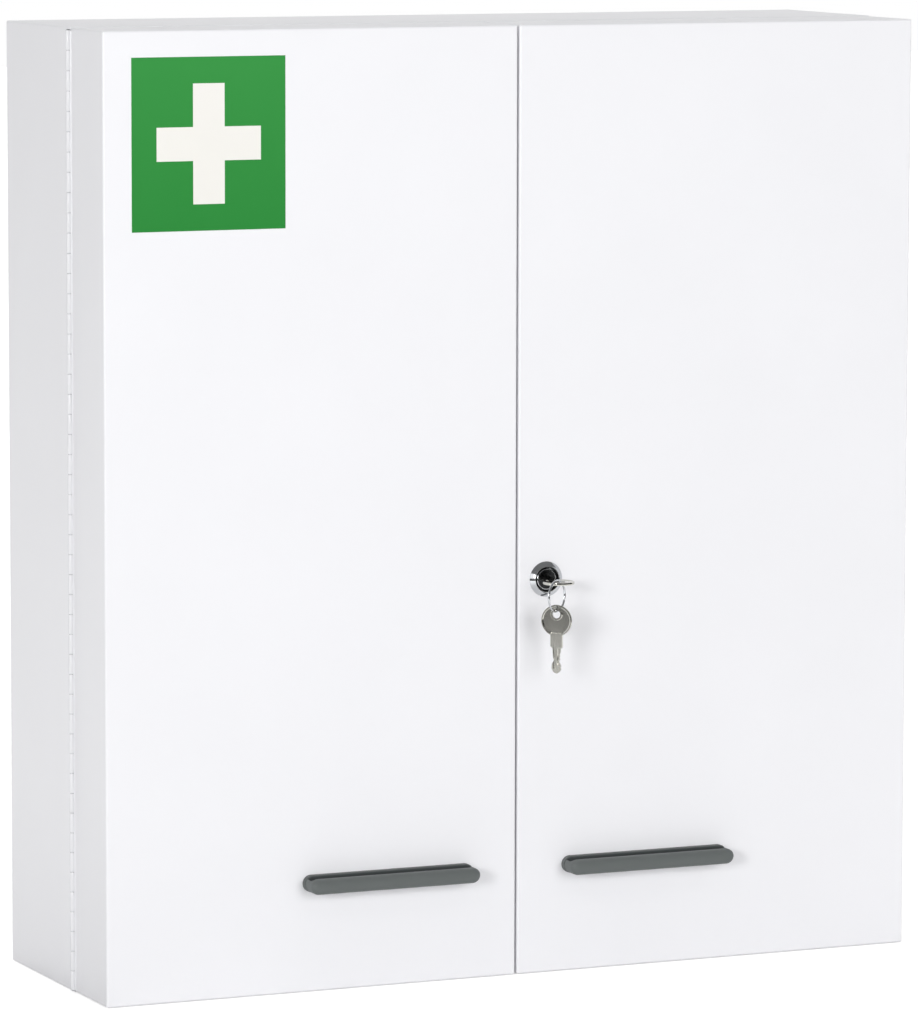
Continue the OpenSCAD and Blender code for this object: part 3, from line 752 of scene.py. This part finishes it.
def make_lock(chrome, dark, recess_shade, zinc):
    out = standing(LOCK_X, FRONT_Y, LOCK_Z, 90)
    # Die-cast housing: flared bezel outside, threaded body inside
    bezel = [(9.2, 1.0), (9.2, 2.75)] + arc(9.5, 3.0, 0.3, 180, 90, 4) + arc(9.6, 3.05, 0.3, 80, 30, 3)
    bezel += [(10.6, 2.65), (11.8, 1.55), (12.7, 0.7), (13.0, 0.4), (13.0, 0.0), (9.0, 0.0), (9.0, -1.2)]
    thread = []
    depth = -1.6
    while depth > -19.4:
        thread += [(8.62, depth), (8.98, depth - 0.36), (8.98, depth - 0.52)]
        depth -= 0.88
    body = thread + [(8.6, -19.6), (8.4, -20.0), (6.55, -20.0), (6.55, -1.0), (8.3, -1.0), (8.3, 1.0)]
    housing = on_lock("flared_lock_housing", bezel + body, 128, True)
    fitted(housing, "right_door", chrome, ["lock_housing"])
    # Dark ring at the bottom of the recess, round the plug: painted shade in the recess
    liner = [(9.19, 1.02), (9.19, 2.6), (9.0, 2.6), (8.85, 1.3), (8.3, 1.3), (8.3, 1.02)]
    recess_ring = on_lock("painted_shade_recess_ring", liner, 96, True)
    fitted(recess_ring, "right_door", recess_shade)
    # Plug: flat dark face inside a thin bright rim, keyway across, square tail for the cam
    rim = [(6.95, 1.25), (6.95, 2.02), (7.02, 2.12), (7.15, 2.18), (7.35, 2.16), (7.6, 2.04)]
    rim += [(7.85, 1.8), (7.99, 1.5), (7.99, 1.25)]
    fitted(on_lock("bright_plug_rim", rim, 96, True), "lock", chrome)
    face = [(0.0, 1.3), (8.0, 1.3), (8.0, -0.95), (6.5, -0.95), (6.5, -19.6), (6.3, -20.4), (0.0, -20.4)]
    plug = on_lock("dished_lock_plug", face)
    slot = prism("keyway", oblong(3.8, 1.0), -18.7, 4.0)
    tail = prism("tail", oblong(3.5, 3.5), -22.88, -20.35)
    tail = softened(placed(tail, out), 0.25)
    carved(plug, placed(slot, out))
    for thing in (plug, tail):
        bore = prism("bore", arc(0, 0, 2.05, 0, 345, 23), -24.0, -18.4)
        carved(thing, placed(bore, out))
    plug = joined("dished_lock_plug", [plug, tail])
    fitted(plug, "lock", dark, ["lock_plug"])
    # Hexagon nut with its corners chamfered on both sides
    nut = placed(prism("chamfered_nut", arc(0, 0, 13.856, 0, 300, 5), -4.99, -1.01), out)
    cone = [(0.0, -1.0), (12.2, -1.0), (14.2, -1.9), (14.2, -4.1), (12.2, -5.0), (0.0, -5.0)]
    carved(nut, on_lock("chamfer", cone, 72), "INTERSECT")
    hole = [(0.0, 0.0), (9.05, 0.0), (9.05, -6.0), (0.0, -6.0)]
    carved(nut, on_lock("nut_bore", hole))
    fitted(softened(nut, 0.15, 2, 35), "right_door", zinc, ["lock_nut"])
    # Stamped cam with rounded corners on a square
    outline = arc(0, 0, 7.5, 180, 360, 32)
    outline += arc(4.0, 32.5, 3.5, 0, 90, 8) + arc(-4.0, 32.5, 3.5, 90, 180, 8)
    cam = placed(prism("stamped_cam", outline, -22.9, -20.4), out)
    carved(cam, placed(prism("square_hole", oblong(3.55, 3.55), -24.0, -19.0), out))
    fitted(softened(cam, 0.25, 2, 40), "lock", zinc, ["lock_cam"])
    screw = pan_screw("cam_pan_screw", 5.0, 2.5, 2.0, 4.3, LOCK_X, LOCK_Z, -22.9)
    fitted(screw, "lock", zinc, ["cam_screw"])


# Keys: round bow with dished faces, a beaded eye, a collar and a grooved blade

def key_mesh(name):
    eye_x, eye_y, eye_r = 0.0, -4.7, 3.0
    bow_r = 11.6
    half = 4.7
    foot = 20.3
    neck = math.degrees(math.asin(half / bow_r))
    plate = arc(0, 0, bow_r, 90 - neck, -270 + neck, 72)
    plate += [(-half, 18.6), (-half + 0.5, 19.4), (-3.1, foot), (3.9, foot)]
    plate += [(half - 0.1, 20.0), (half, 19.6)]
    key = softened(prism(name, plate, -1.0, 1.0), 0.5, 3, 50)
    for side in (-1, 1):
        dish = tapered("dish", arc(0, 0, 9.9, 0, 355, 71), side * 0.6, side * 1.6, (0, 0), 1.175)
        bead = arc(eye_x, eye_y, 4.75, 0, 350, 35)
        keep = tapered("bead", bead, side * 0.55, side * 1.7, (eye_x, eye_y), 0.68)
        arch = arc(-3.2, 7.7, 1.5, 180, 90, 5) + arc(3.2, 7.7, 1.5, 90, 0, 5)
        arch += [(half, 24.0), (-half, 24.0)]
        carved(carved(dish, keep), prism("arch", arch, -3.0, 3.0))
        carved(key, dish)
    carved(key, prism("eye", arc(eye_x, eye_y, eye_r, 0, 352.5, 47), -3.0, 3.0))
    softened(key, 0.15, 2, 50)
    # Blade: distance across it, and along it from the foot of the collar
    cuts = [(-2.9, -1), (-2.9, 1.6), (-2.6, 6.5), (-1.9, 9), (-2.3, 10.0), (-3.2, 11.2), (-3.5, 13.0)]
    cuts += [(-3.45, 15.0), (-2.5, 17.0), (-1.0, 18.3), (0.2, 18.6), (1.4, 18.2), (2.6, 17.1), (3.5, 15.9)]
    cuts += [(3.5, 14.9), (2.9, 14.3), (3.5, 13.7), (3.4, 12.6), (2.2, 10.4), (2.1, 9.4), (2.8, 8.2)]
    cuts += [(2.3, 7.0), (2.7, 6.0), (2.6, 4.4), (3.3, 3.0), (3.3, -1)]
    blade = prism("blade", [(x, foot + along) for x, along in cuts], -0.8, 0.8)
    # Milled flutes on both faces: a wide one that runs up into the collar, and a narrow one beside it
    flutes = ((1.45, 0.75, foot - 2.2, foot + 15.2), (-1.2, 0.5, foot + 0.6, foot + 12.4))
    for face in (0, 180):
        turn = Matrix.Rotation(math.radians(face), 4, "Y") @ Matrix.Rotation(math.radians(-90), 4, "X")
        for x, half_w, low, high in flutes:
            # Round cutter along the key, deep enough to bite 0.4 mm into the blade at this width
            radius = (half_w ** 2 + 0.16) / 0.8
            for cut, start in ((blade, 0.4), (key, 0.62)):
                cutter = prism("flute", arc(x, -start - radius, radius, 0, 348, 29), low, high)
                carved(cut, placed(cutter, turn))
    softened(blade, 0.15, 3, 40)
    made = joined(name, [key, blade])
    mesh = made.data
    milled = mesh.attributes.new("milled", "FLOAT", "POINT")
    along = mesh.attributes.new("key_length", "FLOAT_VECTOR", "POINT")
    for v in mesh.vertices:
        x, y, z = v.co / MM
        milled.data[v.index].value = clamped((y - 8.6) / 1.2)
        along.data[v.index].vector = (v.co.x, v.co.y * 0.1, v.co.z)
    return made


def make_keys(nickel, chrome):
    door_key = key_mesh("cut_door_key")
    spare = door_key.copy()
    spare.data = door_key.data.copy()
    spare.name = "cut_spare_key"
    bpy.context.scene.collection.objects.link(spare)
    placed(door_key, standing(LOCK_X, -122.6, LOCK_Z))
    hang = Matrix.Rotation(math.radians(-90), 4, "X")
    placed(spare, standing(RING_X, RING_Y, SPARE_KEY_Z, -41, "Z") @ hang)
    fitted(door_key, "key_in_lock", nickel, ["door_key"], 40)
    fitted(spare, "key_on_ring", nickel, ["spare_key"], 40)
    keep_flats(door_key.data, 2.0)
    keep_flats(spare.data, 2.0)
    # Ring of wire whose ends nearly meet
    centre = Vector((RING_X, RING_Y, RING_Z))
    side = Vector((-0.819152, -0.573576, 0))
    up = Vector((0, 0, 1))
    across = side.cross(up)
    ring_r, wire_r = 11.4, 0.8
    turns, sides = 120, 16
    verts = []
    for i in range(turns):
        a = math.radians(200.4 + 359.2 * i / (turns - 1))
        away = side * math.cos(a) + up * math.sin(a)
        thick = wire_r * (0.8 if i in (0, turns - 1) else 1.0)
        for j in range(sides):
            b = 2 * math.pi * j / sides
            spot = centre + away * (ring_r + thick * math.cos(b)) + across * (thick * math.sin(b))
            verts.append(tuple(spot))
    faces = [tuple(range(sides)), tuple(range((turns - 1) * sides, turns * sides))]
    for i in range(turns - 1):
        for j in range(sides):
            k = (j + 1) % sides
            faces.append((i * sides + j, i * sides + k, (i + 1) * sides + k, (i + 1) * sides + j))
    wire = new_mesh_object("butted_wire_ring", verts, faces)
    fitted(wire, "ring", chrome, ["key_ring"])


# Bolt knobs and door bumpers

def make_small_parts(nylon, rubber):
    # Knob with a waist for the finger tips
    waist = [(0.0, 7.0), (2.6, 7.0), (3.4, 6.8), (3.85, 6.3), (4.0, 5.6), (3.95, 5.0), (3.45, 4.1)]
    waist += [(3.2, 3.2), (3.2, 2.0), (3.45, 1.1), (3.9, 0.4), (4.0, 0.0), (0.0, 0.0)]
    for word, z in (("upper", 626.0), ("lower", 74.0)):
        # The knobs stand out of the bolts' front faces, inside the door
        knob = turned(word + "_waisted_knob", [(r, out - 61.3) for r, out in waist], -9.3, z, 48)
        fitted(knob, word + "_slide_bolt", nylon, [word + "_bolt_knob"])
    dome = [(0.0, 1.7), (2.6, 1.66), (3.4, 1.45), (3.85, 1.05), (4.0, 0.5), (4.0, 0.0), (0.0, 0.0)]
    pad = turned("domed_door_bumpers", [(r, out - 67.0) for r, out in dome], -60, 8, 40)
    in_a_row(pad, 2, (120, 0, 0), rubber)
    in_a_row(pad, 2, (0, 0, 684), rubber)
    fitted(pad, "cabinet", rubber, ["door_bumpers"])


def coat_nodes(names, material):
    """Gives kept nodes their material."""
    for name in names:
        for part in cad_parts[name].material_slots:
            part.material = material


def make_cabinet():
    coat = white_powder_coat("white_powder_coat", 0.33, 0.43)
    zinc = bright_zinc_plate()
    chrome = polished_chrome()
    white_parts = ["body_shell", "front_frame", "back_panel", "left_shelf_rails", "right_shelf_rails"]
    white_parts += ["lower_shelf", "middle_shelf", "upper_shelf", "left_door_box", "right_door_box"]
    for side in ("left", "right"):
        white_parts += [side + "_" + level + "_tray" for level in ("bottom", "middle", "top")]
    coat_nodes(white_parts, coat)
    coat_nodes(["shelf_clips", "bolt_guides", "upper_bolt", "lower_bolt"], zinc)
    coat_nodes(["sticker_field"], sign_vinyl("green_sign_vinyl", "#339541", "#228834"))
    coat_nodes(["sticker_cross"], sign_vinyl("cream_white_sign_vinyl", "#f3f1ec", "#f0eee8"))
    make_hinges(white_powder_coat("thin_white_powder_coat", 0.2, 0.28), zinc)
    make_handles(grey_abs(), zinc)
    make_lock(chrome, dark_nickel(), recess_shade_zinc(), zinc)
    make_keys(nickel_brass(), chrome)
    make_small_parts(black_nylon(), black_rubber())


make_camera()
make_studio()
make_cabinet()
